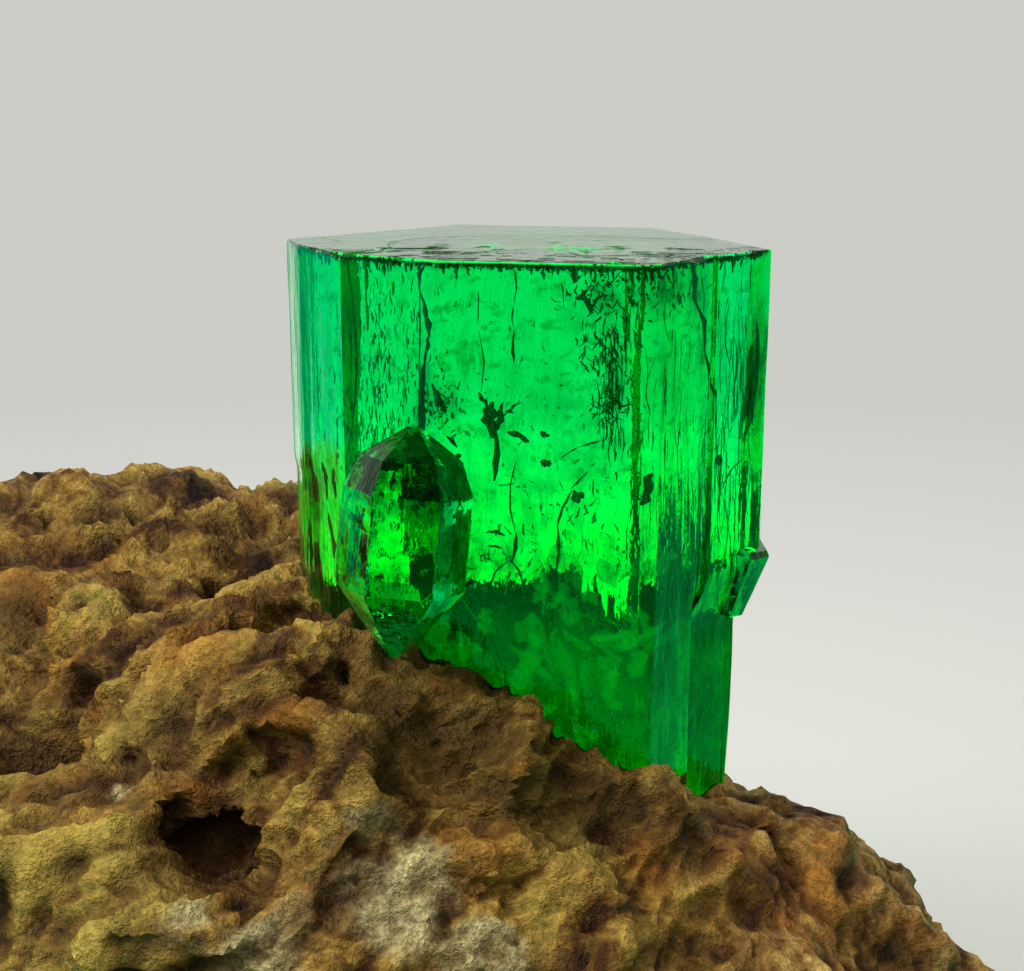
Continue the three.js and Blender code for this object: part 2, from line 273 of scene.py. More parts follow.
def rock_pits(p):
    """Each hollow sinks the rock by its depth, falling off with the fourth power."""
    sunk = np.zeros(len(p))
    for place, width, depth in ROCK_PITS:
        away = np.linalg.norm(p - np.array(place), axis=1) / width
        sunk += depth * np.exp(-away ** 4)
    return sunk


def patches(p, places):
    """1 at the middle of each patch, falling to nought with the square of the
    distance, with an edge that noise makes uneven."""
    uneven = 1 + 0.45 * layered_noise(p, 0.9, 81, 3)
    depth = np.zeros(len(p))
    for place, reach in places:
        away = np.linalg.norm(p - np.array(place), axis=1) / reach
        depth = np.maximum(depth, np.exp(-(away * uneven) ** 2))
    return depth


def turned_to(pole):
    """Three unit axes, the last along the pole."""
    z = pole / np.linalg.norm(pole)
    x = np.cross([0.0, 1.0, 0.0], z)
    x /= np.linalg.norm(x)
    return np.stack([x, np.cross(z, x), z])


def grid_normals(rings):
    """Outward unit normals of closed rings, from the differences between neighbours."""
    along = np.gradient(rings, axis=0)
    around = np.roll(rings, -1, axis=1) - np.roll(rings, 1, axis=1)
    normal = np.cross(around, along)
    return normal / np.maximum(np.linalg.norm(normal, axis=2, keepdims=True), 1e-12)


def smooth_step(low, high, value):
    """0 below low, 1 above high and a smooth rise between them."""
    t = np.clip((value - low) / (high - low), 0, 1)
    return t * t * (3 - 2 * t)


def fine_relief(p, sunk):
    """How far the skin rises at each place, and the values that the material reads.
    Sinews at three sizes are raised where bent noise crosses nought, with crumbs on
    them, and pores and holes sink in. On the right combed strands take their place."""
    right = smooth_step(4.5, 8.5, p[:, 0] + 0.35 * p[:, 1])
    along = p @ FIBRE
    across = p - along[:, None] * FIBRE
    combed = across + along[:, None] * FIBRE * 0.16
    strands = noise(combed, 0.42, 31) + 0.5 * noise(combed, 0.2, 32)
    bent = p + 0.5 * shift(p, 2.2, 91)
    bent = bent - 0.55 * (bent @ SINEW)[:, None] * SINEW
    coarse, middling, thin = (
        2 * (1 - np.abs(noise(bent, size, 33 + k))) ** 2 - 1
        for k, size in enumerate((1.25, 0.62, 0.3))
    )
    crumbs = noise(p, 0.5, 96) + 0.6 * noise(p, 0.24, 97)
    torn = p + 0.22 * shift(p, 0.6, 101)
    pores = cell_pits(torn, 1.0, 41, 0.3)
    fine_pores = cell_pits(torn, 0.45, 47, 0.35)
    holes = np.zeros(len(p))
    hole_depth = np.zeros(len(p))
    for place, width, depth in ROCK_HOLES:
        away = np.linalg.norm(torn - np.array(place), axis=1) / width
        hole_depth += depth * np.exp(-away ** 4)
        holes = np.maximum(holes, np.exp(-(away / 1.25) ** 4))
    rise = (1 - 0.55 * right) * (0.2 * coarse + 0.14 * middling + 0.07 * thin)
    rise += 0.09 * crumbs - (0.32 * pores + 0.2 * fine_pores) * (1 - 0.7 * right)
    rise += 0.13 * right * strands - hole_depth
    crest = 0.5 * coarse + 0.4 * middling + 0.3 * thin + 0.25 * crumbs
    # The material paints light on the crests and shade in the creases and hollows by these values.
    return rise, {
        "hollow": np.maximum(holes, 0.7 * sunk) + 0.7 * pores + 0.5 * fine_pores,
        "crest": crest + 0.4 * right * strands,
        "fibrous": right,
    }


def matrix_rock():
    """The rock's skin. Angle from the pole and turn round it give a direction, and the
    blended radius, the relief and the pits give the distance from the rock's centre.
    Finer relief is then raised along the skin's own normals, and the part below the
    base is brought up to it."""
    angles = np.concatenate([
        np.linspace(0.02, 2.1, 165, endpoint=False),
        np.linspace(2.1, math.pi - 0.03, 30),
    ])[::-1]
    turns = np.linspace(0, 2 * math.pi, ROCK_COLUMNS, endpoint=False)
    a, t = np.meshgrid(angles, turns, indexing="ij")
    local = np.stack([np.sin(a) * np.cos(t), np.sin(a) * np.sin(t), np.cos(a)], axis=-1)
    directions = local.reshape(-1, 3) @ turned_to(ROCK_POLE - ROCK_CENTRE)
    smooth = rock_blend(directions)
    p = directions * smooth[:, None] + ROCK_CENTRE
    sunk = rock_pits(p)
    p = ROCK_CENTRE + directions * (smooth + rock_relief(p) - sunk)[:, None]
    rings = p.reshape(len(angles), ROCK_COLUMNS, 3)
    normals = grid_normals(rings).reshape(-1, 3)

    rise, finish = fine_relief(p, sunk)
    p = p + normals * rise[:, None]
    to_base = np.minimum(1.0, -ROCK_CENTRE[2] / np.minimum(p[:, 2] - ROCK_CENTRE[2], -1e-9))
    below = p[:, 2] < 0
    p = np.where(below[:, None], ROCK_CENTRE + (p - ROCK_CENTRE) * to_base[:, None], p)

    rock = closed_rings("matrix_rock_skin", p.reshape(len(angles), ROCK_COLUMNS, 3))
    for name, places in PATCHES.items():
        finish[name] = patches(p, places)
    for name, values in finish.items():
        set_attribute(rock, name, np.append(values, [0.0, 0.0]))
    rock = joined("matrix_rock_skin", "DIFFERENCE", [rock, crystal_socket()])
    smooth_with_sharp_edges(rock, 60)
    return rock


def crystal_socket():
    """The room that the large crystal takes in the rock: its outline, a little way
    inside its faces, from its slanting underside to above the rock."""
    plan = PRISM_PLAN * (1 - 0.08 / 5)
    plan[:, 0] -= np.where(plan[:, 0] > 4, 0.7, 0)
    foot = np.column_stack([plan, root_height(plan) + 0.05])
    head = np.column_stack([plan, np.full(len(plan), SOCKET_TOP)])
    rings = np.array([foot * [0.02, 0.02, 1], foot, head, head * [0.02, 0.02, 1]])
    rings[0, :, 2] = root_height(rings[0, :, :2]) + 0.05
    rings[:, :, :2] += AXIS
    socket = closed_rings("crystal_socket", rings)
    # Marks the socket's wall, which the rock's material paints green and makes glow: painted light.
    set_attribute(socket, "embedded", np.ones(rings[..., 0].size + 2))
    return socket


# The emerald crystals

PRISM_PLAN = np.array([
    [5.85, -1.45], [4.85, 1.9], [3.6, 4.95], [-1.9, 6.1], [-6.15, 1.5], [-5.65, -0.1],
    [-4.38, -2.4], [-2.05, -4.1], [2.55, -5.05], [2.95, -4.75], [4.3, -2.85], [4.42, -2.9],
])
# Points per millimetre along each side of the outline: the back has fewer
SIDE_DENSITY = [9, 9, 9, 9, 18, 20, 22, 20, 20, 20, 20, 16]
STRIATED_SIDE = 6
BODY_RINGS = 96
SOCKET_TOP = 24.0  # well above the rock


def plan_outline():
    """Points along the six-sided outline, each side with its own density, with the
    side's outward normal and the distance gone round."""
    points, normals, sides = [], [], []
    for i, (start, density) in enumerate(zip(PRISM_PLAN, SIDE_DENSITY)):
        end = PRISM_PLAN[(i + 1) % len(PRISM_PLAN)]
        length = np.linalg.norm(end - start)
        steps = max(2, int(round(length * density)))
        share = np.arange(steps) / steps
        points.append(start + (end - start) * share[:, None])
        out = np.array([end[1] - start[1], start[0] - end[0]]) / length
        normals.append(np.tile(out, (steps, 1)))
        sides.append(np.full(steps, i))
    points, normals, sides = (np.concatenate(v) for v in (points, normals, sides))
    first_of_side = np.roll(sides, 1) != sides
    normals[first_of_side] = (normals + np.roll(normals, 1, axis=0))[first_of_side] / 2
    gone = np.cumsum(np.linalg.norm(points - np.roll(points, 1, axis=0), axis=1))
    return points, normals, sides, gone


def root_height(xy):
    """The large crystal's slanting underside, level with the rock round it."""
    return 11.3 - 0.42 * xy[:, 0] - 0.16 * xy[:, 1]


def edge_inset(z):
    """How far the right edge is broken back below the side shard."""
    return 0.62 * (1 - smooth_step(16.6, 18.4, z)) + 0.13 * (1 - smooth_step(11, 15, z))


def face_relief(x, z, side):
    """Growth on the upright faces, from the distance round and the height: long
    upright terraces, where stretched noise is cut into even steps, fine upright
    grooves, and on the striated face short upright etch pits."""
    at = np.stack([x, z, np.zeros_like(x)], axis=1)
    terraces = 3 * (noise(at * [1, 0.13, 1], 0.9, 51) + 0.4 * noise(at * [1, 0.3, 1], 0.4, 52))
    stepped = (terraces - 0.7 * np.sin(2 * np.pi * terraces) / (2 * np.pi)) / 3
    grooves = noise(at * [1, 0.06, 1], 0.22, 53)
    lean = at * [1, 0.24, 1]
    dashes = cell_pits(lean, 0.22, 55, 0.5)
    return 0.03 * stepped + 0.006 * grooves - 0.03 * dashes * (side == STRIATED_SIDE)


def top_etching(xy):
    """Low steps in the front half of the top face: noise, longer from side to side,
    cut into whole levels."""
    at = np.column_stack([xy, np.zeros(len(xy))])
    outlines = noise(at * [0.6, 1, 1], 0.62, 61) + 0.6 * noise(at * [0.6, 1, 1], 0.27, 62)
    return np.round(outlines * 1.5 * smooth_step(0.6, -2.4, xy[:, 1]))


def rim_chips(outline, gone):
    """How far the top face's rim is broken down at each place round it: a little
    everywhere, more where coarse noise is high, and most at one chip in front."""
    at = np.stack([gone, np.zeros(len(gone)), np.zeros(len(gone))], axis=1)
    broken = 0.05 + 0.05 * noise(at, 0.5, 64) + 0.14 * np.maximum(noise(at, 1.1, 65) - 0.3, 0)
    near_chip = np.exp(-((outline[:, 0] + 2.6) / 0.75) ** 2) * (outline[:, 1] < -3)
    return np.maximum(broken + 0.16 * near_chip * (0.6 + 0.6 * noise(at, 0.4, 66)), 0.02)


def large_crystal():
    """The flat-topped prism. Round it runs the outline, and up it first the slanting
    underside from its middle out, then the upright faces with their relief, then the
    top face from its rim in, with low terraces."""
    outline, normals, sides, gone = plan_outline()
    columns = len(outline)
    broken = rim_chips(outline, gone)
    rings = []

    def ring(z):
        """The outline at these heights, broken in at its edges, with the relief."""
        inset = np.where(outline[:, 0] > 4, edge_inset(z), 0)
        inset = inset - np.where(outline[:, 0] < -5, 0.06 * (1 - smooth_step(19.9, 20.4, z)), 0)
        xy = outline.copy()
        xy[:, 0] -= inset
        xy += normals * face_relief(gone, z, sides)[:, None]
        return xy

    foot = ring(np.full(columns, 10.0))
    for scale in np.linspace(0.04, 1, 12)[:-1]:
        xy = foot * scale
        rings.append(np.column_stack([xy, root_height(xy)]))
    rings.append(np.column_stack([foot, root_height(foot)]))
    for share in np.linspace(0, 1, BODY_RINGS)[1:]:
        z = root_height(foot) * (1 - share) + (TOP - broken) * share
        rings.append(np.column_stack([ring(z), z]))
    rim = ring(np.full(columns, TOP)) - normals * (0.8 * broken)[:, None]
    for scale in 1 - np.concatenate([np.linspace(0, 0.5, 44), np.linspace(0.53, 0.98, 10)]):
        xy = rim * scale
        at = np.column_stack([xy, np.zeros(columns)])
        level = 0.02 * top_etching(xy) + 0.01 * np.round(noise(at, 4, 67) * 2)
        z = TOP + level * smooth_step(0, 0.03, 1 - scale)
        rings.append(np.column_stack([xy, z]))
    rings = np.array(rings)
    rings[:, :, :2] += AXIS
    return closed_rings("large_crystal", rings)


def barrel_crystal(name, outline, levels, tilt, at):
    """A blunt crystal: its outline scaled at each level, with points between the
    corners and between the levels, low steps raised on its faces, and all of it then
    turned and tilted."""
    count = len(outline)
    share = np.arange(0, count, 1 / 14)
    corners = np.array(outline + outline[:1])
    round_it = np.stack([np.interp(share, range(count + 1), corners[:, k]) for k in range(2)], axis=1)
    levels = np.array(levels)
    up = np.unique(np.concatenate([np.linspace(levels[0, 0], levels[-1, 0], 90), levels[:, 0]]))
    scale = np.interp(up, levels[:, 0], levels[:, 1])
    points = np.concatenate([
        round_it[None] * scale[:, None, None],
        np.broadcast_to(up[:, None, None], (len(up), len(share), 1)),
    ], axis=2)
    steps = np.round(2.5 * noise(points.reshape(-1, 3) * [1, 1, 0.5], 0.8, 57)).reshape(len(up), -1)
    points[:, :, :2] *= 1 + 0.012 * steps[:, :, None]
    turn_x, turn_y, turn_z = np.radians(tilt)
    cz, sz, cx, sx, cy, sy = (f(v) for v in (turn_z, turn_x, turn_y) for f in (np.cos, np.sin))
    about_z = np.array([[cz, -sz, 0], [sz, cz, 0], [0, 0, 1]])
    about_x = np.array([[1, 0, 0], [0, cx, -sx], [0, sx, cx]])
    about_y = np.array([[cy, 0, sy], [0, 1, 0], [-sy, 0, cy]])
    turned = points @ (about_y @ about_x @ about_z).T + np.array(at)
    return closed_rings(name, turned)


def joined(name, operation, parts):
    """The first part with the others joined to it or cut out of it, as one skin."""
    whole = parts[0]
    for part in parts[1:]:
        join = whole.modifiers.new("join", "BOOLEAN")
        join.operation = operation
        join.solver = "MANIFOLD"
        join.object = part
    bpy.context.view_layer.update()
    evaluated = whole.evaluated_get(bpy.context.evaluated_depsgraph_get())
    mesh = bpy.data.meshes.new_from_object(evaluated)
    for part in parts:
        bpy.data.objects.remove(part)
    mesh.name = name
    mesh.materials.clear()
    return placed(name, mesh)


def darkest(at, clouds, power):
    """The strongest cloud at each place along and up the front: each one's strength at
    its middle, falling off with a power of the squared distance."""
    dark = np.zeros(len(at))
    for x, z, width, height, strength in clouds:
        away = ((at[:, 0] - x) / width) ** 2 + ((at[:, 1] - z) / height) ** 2
        dark = np.maximum(dark, strength * np.exp(-away ** power))
    return dark


def cloud_and_shade_darkness(p):
    """How dark the skin is: soft clouds on the front faces, partly clouds in the stone and
    partly painted shade, others on the small crystal and the shard, which are painted shade,
    a dark rim, and painted shade in dark lines where the top face's etching steps."""
    uneven = p[:, [0, 2]] + 0.12 * np.stack([noise(p, 0.7, 71), noise(p, 0.7, 72)], axis=1)
    cloud = darkest(uneven, SOFT_CLOUDS, 1)
    # Painted shade on the small crystal's cap and on the shard.
    grown_on_painted_shade = darkest(uneven, SMALL_CRYSTAL_PAINTED_SHADE, 2)
    behind = p[:, 1] - front_y(p[:, 0], p[:, 2])
    on_front = smooth_step(-0.12, -0.08, behind) * smooth_step(0.8, 0.2, behind)
    on_shard = (p[:, 0] > 8.9) & (p[:, 2] > 16.8) & (p[:, 2] < 18.9)
    cloud = 1 - (1 - np.where((behind < -0.1) | on_shard, grown_on_painted_shade, cloud * on_front)) ** 2
    rim = smooth_step(TOP - 0.2, TOP - 0.1, p[:, 2]) * smooth_step(TOP - 0.005, TOP - 0.03, p[:, 2])
    cloud = np.maximum(cloud, 0.93 * rim * (p[:, 1] < -1))
    # Painted shade: dark lines where the top face's etching steps.
    top = (p[:, 2] > TOP - 0.03) & (behind > 0.1)
    xy = p[:, :2] - AXIS
    steps = sum(np.abs(top_etching(xy + d) - top_etching(xy - d)) for d in ([0.03, 0], [0, 0.03]))
    return np.where(top, 0.97 * (steps > 0), cloud)


def emerald_crystals():
    """The large crystal with the small one and the shard grown on it, as one skin."""
    small = barrel_crystal(
        "small_crystal",
        [[1.5, -0.1], [0.8, 1.25], [-0.7, 1.35], [-1.5, 0.1], [-0.8, -1.25], [0.7, -1.35]],
        [[-2.75, 0.1], [-1.9, 0.58], [-1.1, 1], [1.15, 1], [1.9, 0.78], [2.35, 0.34], [2.6, 0.1]],
        (-5, 5.5, 3), (1.2, -4.35, 19.75),
    )
    shard = barrel_crystal(
        "side_shard",
        [[0.6, -0.1], [0.3, 0.85], [-0.6, 0.7], [-0.7, -0.6], [0.2, -0.85]],
        [[-0.85, 0.72], [0.85, 1], [0.98, 0.84]],
        (4, 15, -12), (9.3, -0.85, 17.75),
    )
    crystals = joined("emerald_crystals_skin", "UNION", [large_crystal(), small, shard])
    points = np.empty(len(crystals.data.vertices) * 3, dtype=np.float32)
    crystals.data.vertices.foreach_get("co", points)
    # Clouds in the stone and painted shade, for the material to darken by.
    set_attribute(crystals, "clouds_and_painted_shade", cloud_and_shade_darkness(points.reshape(-1, 3) / MM))
    smooth_with_sharp_edges(crystals, 24)
    return crystals


# Marks inside the large crystal: thin blades of dark mineral and healed cracks

# Start and end of each blade along the front and up it, and its width
SINGLE_BLADES = [
    # the dart, its horns and its tail
    (2.9, 23.05, 3.15, 22.6, 0.11), (3.45, 22.85, 3.3, 22.5, 0.09),
    (3.2, 22.85, 3.25, 22.0, 0.32), (3.25, 22.25, 3.25, 21, 0.16),
    (3.02, 22.7, 3.2, 22.2, 0.16), (3.42, 22.72, 3.28, 22.15, 0.16),
    (3.45, 22.5, 3.85, 22.85, 0.07), (3.5, 22.65, 3.7, 22.6, 0.06),
    # the upright spike
    (3.75, 21.5, 3.75, 19.75, 0.05), (3.75, 19.8, 3.65, 19.05, 0.09),
    (3.65, 19.15, 3.15, 18.35, 0.07), (3.65, 19.1, 3.95, 18.35, 0.07),
    (3.05, 19.75, 3.5, 19.7, 0.1), (3.1, 19.45, 3.45, 19.4, 0.07),
    # upright chains
    (3.7, 25.9, 3.7, 25.1, 0.05), (3.7, 25.05, 3.7, 24.55, 0.04), (3.7, 24.5, 3.7, 23.75, 0.08),
    (2.9, 24.45, 2.95, 23.05, 0.04), (2.9, 25.35, 2.9, 24.65, 0.04), (4.75, 25.6, 4.8, 25, 0.04),
    # the crack by the striated face, and the lines along its two edges
    (1.75, 25.95, 1.65, 25.1, 0.11), (1.65, 25.15, 1.8, 24.25, 0.16),
    (1.8, 24.35, 1.65, 23.5, 0.11), (1.65, 23.6, 1.6, 21.75, 0.2), (1.85, 23.2, 2.15, 22.55, 0.16),
    (1.6, 25.95, 1.5, 21.45, 0.05), (-0.2, 25.95, -0.3, 21.15, 0.07), (-0.1, 24.95, -0.15, 21.55, 0.04),
    # the arrow
    (5.2, 25.45, 5.4, 24.9, 0.12), (5.4, 24.95, 5.6, 25.3, 0.1), (5.05, 25.2, 5.35, 25.45, 0.1),
    # the long branch on the right, with its knot
    (7.65, 25.95, 7.75, 25.05, 0.2), (7.75, 25.1, 8.1, 23.8, 0.12), (8.1, 23.85, 8.45, 22.55, 0.09),
    (8.45, 22.55, 8.55, 21.2, 0.06), (8.56, 21.24, 8.6, 20.98, 0.26), (8.55, 21.05, 8.6, 19.8, 0.05),
    (8.65, 20.3, 9.25, 21, 0.05),
    # the wedge by the right edge
    (9.5, 24.3, 9.25, 21.45, 0.22), (9.4, 23.75, 9.15, 21.5, 0.27),
    # arcs
    (5.65, 22.05, 5.2, 21.9, 0.05), (5.2, 21.9, 4.75, 21.6, 0.04), (5.4, 21.35, 5, 20.9, 0.06),
    (5.05, 20.9, 4.7, 19.95, 0.08), (4.7, 20, 4.65, 18.75, 0.08),
    # blots
    (6.55, 20.6, 6.8, 21.3, 0.32), (5, 20.65, 5.3, 20.8, 0.27), (4.3, 21.5, 4.55, 21.45, 0.2),
    (2.35, 21.55, 2.5, 21.55, 0.16), (3.55, 22.15, 4.05, 21.95, 0.16),
    (4.3, 22.2, 4.5, 22.1, 0.14), (2.15, 22, 2.4, 21.75, 0.11),
    # flames on the left faces
    (-1.4, 20.7, -1.3, 19.5, 0.18), (-1, 20.7, -0.9, 19.75, 0.14), (-0.65, 20.7, -0.6, 19.95, 0.11),
    (-0.85, 19.45, -0.7, 18.35, 0.14), (-1.55, 18.95, -1.5, 17.8, 0.16),
    (-1.3, 18.45, -1.1, 17.35, 0.18), (-1.95, 17.55, -1.7, 16.4, 0.2),
]
# Each soft cloud's middle along the front and up it, half-width, half-height and strength; they are
# partly clouds in the stone and partly painted shade, most of all low down on the right
SOFT_CLOUDS = [
    (7.0, 25.5, 0.75, 0.5, 0.75), (7.9, 25.3, 0.3, 0.8, 0.6), (8.1, 24.0, 0.12, 1.2, 0.5),
    (9.55, 23.2, 0.42, 1.7, 0.9), (5.95, 23.4, 0.2, 1.1, 0.5), (5.7, 25.2, 0.5, 0.35, 0.5),
    (1.65, 22.7, 0.16, 1.1, 0.75), (2.05, 22.6, 0.4, 0.35, 0.45), (3.25, 22.3, 0.25, 0.5, 0.4),
    (6.7, 20.9, 0.25, 0.5, 0.5), (5.1, 20.6, 0.3, 0.2, 0.35), (4.8, 19.4, 0.2, 1.0, 0.35),
    (6.0, 22.0, 0.5, 0.3, 0.4), (3.7, 19.6, 0.3, 0.4, 0.4), (-1.3, 19.5, 0.5, 1.2, 0.45),
    (-1.4, 17.4, 0.5, 1.2, 0.7), (7.6, 19.0, 0.5, 1.0, 0.45), (8.4, 17.3, 0.7, 1.7, 0.75),
    (8.2, 14.6, 0.8, 1.6, 0.6), (7.2, 16.5, 0.5, 1.6, 0.5), (8.75, 17.7, 0.25, 0.6, 0.6),
    (7.2, 14.0, 0.5, 1.2, 0.5),
    (2.7, 19.2, 0.45, 0.6, 0.6), (3.5, 19.0, 0.35, 0.7, 0.65), (4.3, 18.9, 0.3, 0.5, 0.5),
    (5.1, 19.2, 0.5, 0.35, 0.45), (5.9, 19.3, 0.25, 0.6, 0.55), (6.6, 19.2, 0.35, 0.9, 0.6),
    (0.0, 15.8, 0.8, 0.8, 0.5), (3.0, 19.2, 0.6, 0.25, 0.3), (4.4, 21.0, 0.35, 0.16, 0.4),
    (5.6, 22.4, 0.5, 0.2, 0.35), (5.3, 21.5, 0.9, 0.5, 0.3),
    (3.0, 20.6, 0.6, 0.4, 0.3), (4.6, 20.2, 0.8, 0.35, 0.3), (4.9, 22.9, 0.3, 0.14, 0.35),
    (2.6, 21.0, 0.4, 0.16, 0.35),
    (8.2, 21.5, 0.12, 1.6, 0.35), (7.3, 22.5, 0.1, 1.6, 0.3), (7.0, 23.5, 0.15, 1.0, 0.35),
]
# Painted shade on the small crystal's cap and on the shard, in the same columns.
SMALL_CRYSTAL_PAINTED_SHADE = [
    (1.7, 21.25, 1.1, 0.7, 0.9), (0.5, 21.4, 0.6, 0.7, 0.8), (0.1, 19.9, 0.45, 0.7, 0.6),
    (2.3, 19.8, 0.22, 0.6, 0.5), (0.8, 18.6, 0.6, 0.3, 0.45), (9.35, 17.7, 0.7, 1.0, 0.9),
    (9.1, 17.2, 0.3, 0.4, 0.92),
]
# Count, middle and spread along the front and up it, then shortest and longest length,
# width, lean, greatest depth behind the face, and tone from dark to pale
BLADE_SWARMS = [
    (520, (0.6, 0.6), (22.0, 2.3), (0.1, 0.4), 0.034, 0.12, 0.1, 0.35),  # striated face
    (60, (-0.05, 0.2), (22.5, 2.2), (0.1, 0.5), 0.03, 0.1, 0.08, 0.3),
    (90, (5.55, 0.45), (25.35, 0.3), (0.05, 0.3), 0.05, 0.8, 0.5, 0.3),  # by the arrow
    (80, (7.0, 0.5), (25.5, 0.3), (0.05, 0.3), 0.05, 0.4, 0.7, 0.35),  # top right cloud
    (90, (5.9, 0.2), (23.2, 0.9), (0.15, 0.8), 0.04, 0.05, 0.5, 0.35),  # brush
    (60, (5.95, 0.25), (22.8, 0.2), (0.1, 0.35), 0.05, 1.2, 0.6, 0.4),
    (60, (5.8, 0.3), (24.1, 0.3), (0.1, 0.35), 0.05, 0.5, 0.6, 0.4),
    (70, (2.05, 0.28), (22.7, 0.3), (0.05, 0.25), 0.06, 0.8, 0.6, 0.45),  # by the crack
    (90, (4.4, 1.4), (22.8, 1.9), (0.03, 0.18), 0.035, 0.5, 1.2, 0.5),  # specks
    (60, (4.9, 1.2), (19.6, 0.8), (0.05, 0.3), 0.05, 0.5, 1.0, 0.5),
    (90, (8.6, 0.6), (22.6, 1.7), (0.4, 2.2), 0.03, 0.02, 0.5, 0.5),  # right face streaks
    (60, (8.2, 0.7), (19.0, 1.2), (0.5, 2.4), 0.04, 0.02, 0.8, 0.55),
    (50, (6.9, 0.3), (21.5, 2.0), (0.3, 1.6), 0.03, 0.02, 0.5, 0.5),
    (30, (-1.1, 0.4), (21.0, 2.6), (0.3, 1.6), 0.025, 0.03, 0.3, 0.6),  # left face
    (110, (4.3, 1.6), (18.6, 0.6), (0.05, 0.4), 0.06, 0.6, 3.0, 0.62),  # edge of the lower zone
    # The pale veils and the bright patch low down glow: healed cracks, with painted light in the
    # crystal's lower zone.
    (34, (4.8, 1.2), (17.0, 1.0), (0.5, 1.6), 0.42, 0.9, 2.0, 1.0),  # pale veils
    (30, (4.8, 1.3), (17.2, 1.1), (0.3, 1.3), 0.03, 0.8, 1.0, 0.8),
    (30, (7.8, 0.7), (16.0, 1.2), (0.3, 1.3), 0.03, 0.3, 0.6, 0.8),
    (8, (5.1, 0.25), (14.9, 0.35), (0.3, 0.7), 0.4, 0.5, 0.3, 0.95),  # bright patch low down
]
# The same, in the small crystal and the shard, with the places from front to back too. The dark ones are
# painted shade on the small crystal's cap and in the shard, the pale ones painted highlights on the
# small crystal's left
GROWN_ON_SHADE_AND_HIGHLIGHT_SWARMS = [
    (14, (1.6, 0.3), (-4.7, 0.2), (21.0, 0.3), (0.2, 0.5), 0.1, 0.6, 0.3),
    (10, (0.3, 0.15), (-4.8, 0.15), (19.8, 0.4), (0.2, 0.6), 0.1, 0.4, 0.3),
    # Painted highlights: three pale blades on the small crystal's left.
    (3, (0.0, 0.03), (-4.95, 0.04), (20.3, 0.25), (0.1, 0.25), 0.09, 0.5, 1.0),
    (14, (9.35, 0.08), (-0.9, 0.2), (17.8, 0.3), (0.2, 0.5), 0.14, 0.3, 0.3),
]
DRIP_SPACING = 0.035
BLADE_STATIONS = 7
MARKS_SEED = 7


def front_y(x, z):
    """How far forward the front faces are at each place along and up them."""
    front = np.roll(PRISM_PLAN, -4, axis=0)[:9] + AXIS
    on_edge = smooth_step(7.5, 8.0, x) * edge_inset(z)
    left_in = 0.12 * smooth_step(0, -1, x)
    return np.interp(x + on_edge - left_in, front[:, 0], front[:, 1])


def blades(name, start, end, width, depth, tone, rng):
    """Closed blades, four-cornered in section. Each runs from its start to its end a
    depth behind the front face; its width follows half a sine wave, made uneven, and
    its middle line is bent a little to one side."""
    count = len(start)
    share = np.linspace(0, 1, BLADE_STATIONS)
    run = end - start
    length = np.linalg.norm(run, axis=1, keepdims=True)
    run = run / length
    side = np.stack([run[:, 1], -run[:, 0]], axis=1)
    swell = np.sin(np.pi * (0.04 + 0.92 * share)) ** 0.6
    half = width[:, None] / 2 * swell * rng.uniform(0.55, 1.25, (count, BLADE_STATIONS))
    bend = 0.06 * length * rng.normal(0, 1, (count, 1)) * np.sin(np.pi * share)
    bend = bend + 0.3 * half * rng.normal(0, 1, (count, BLADE_STATIONS))
    middle = start[:, None] + run[:, None] * (length * share)[:, :, None]
    middle = middle + side[:, None] * bend[:, :, None]
    sideways = np.array([1, 0, -1, 0])
    back = np.array([0, 1, 0, -1])
    flat = middle[:, :, None] + side[:, None, None] * (half[:, :, None] * sideways)[..., None]
    thick = back * np.minimum(half * 0.3, 0.03)[:, :, None]
    y = front_y(flat[..., 0], flat[..., 1]) + depth[:, None, None] + thick
    points = np.stack([flat[..., 0], y, flat[..., 1]], axis=-1)

    index = np.arange(points[..., 0].size).reshape(count, BLADE_STATIONS, 4)
    after = np.roll(index, -1, axis=2)
    walls = np.stack([index[:, :-1], after[:, :-1], after[:, 1:], index[:, 1:]], axis=-1)
    caps = np.concatenate([index[:, 0, ::-1], index[:, -1]])
    quads = np.concatenate([walls.reshape(-1, 4), caps])
    obj = mesh_object(name, points.reshape(-1, 3), quads, np.zeros((0, 3), dtype=int))
    set_attribute(obj, "tone", np.repeat(tone, BLADE_STATIONS * 4))
    return obj


def scattered(rng, count, along, up, lengths, width, lean, tone):
    """Start, end, width and tone of one swarm's blades, their middles spread in a bell
    curve and their lean too."""
    middle = np.column_stack([rng.normal(*along, count), rng.normal(*up, count)])
    angle = rng.normal(0, 1, count) * lean
    reach = rng.uniform(*lengths, count)[:, None] / 2
    half_run = np.column_stack([np.sin(angle), np.cos(angle)]) * reach
    widths = width * rng.uniform(0.4, 1.4, count)
    tones = np.clip(tone + rng.normal(0, 0.12, count), 0, 1)
    return middle - half_run, middle + half_run, widths, tones


def single_blades():
    """The listed blades, close behind the front: the wider ones a little paler, and
    those by the right edge paler still."""
    listed = np.array(SINGLE_BLADES)
    width = listed[:, 4]
    tone = np.where(listed[:, 0] > 9.1, 0.5, 0.1 + 0.4 * width)
    return listed[:, 0:2], listed[:, 2:4], width, tone, np.full(len(listed), 0.08)


def drips(rng):
    """Short drips, side by side under the top face's front edge, some of them long."""
    x = np.arange(-2.0, 9.7, DRIP_SPACING)
    high = np.full(len(x), TOP - 0.03)
    drop = rng.uniform(0.06, 0.17, len(x)) * rng.choice([1, 1, 1, 1, 2.5], len(x))
    width = rng.uniform(0.05, 0.1, len(x))
    tone = rng.uniform(0.1, 0.4, len(x))
    low_ends, high_ends = np.column_stack([x, high - drop]), np.column_stack([x, high])
    return low_ends, high_ends, width, tone, np.full(len(x), 0.07)


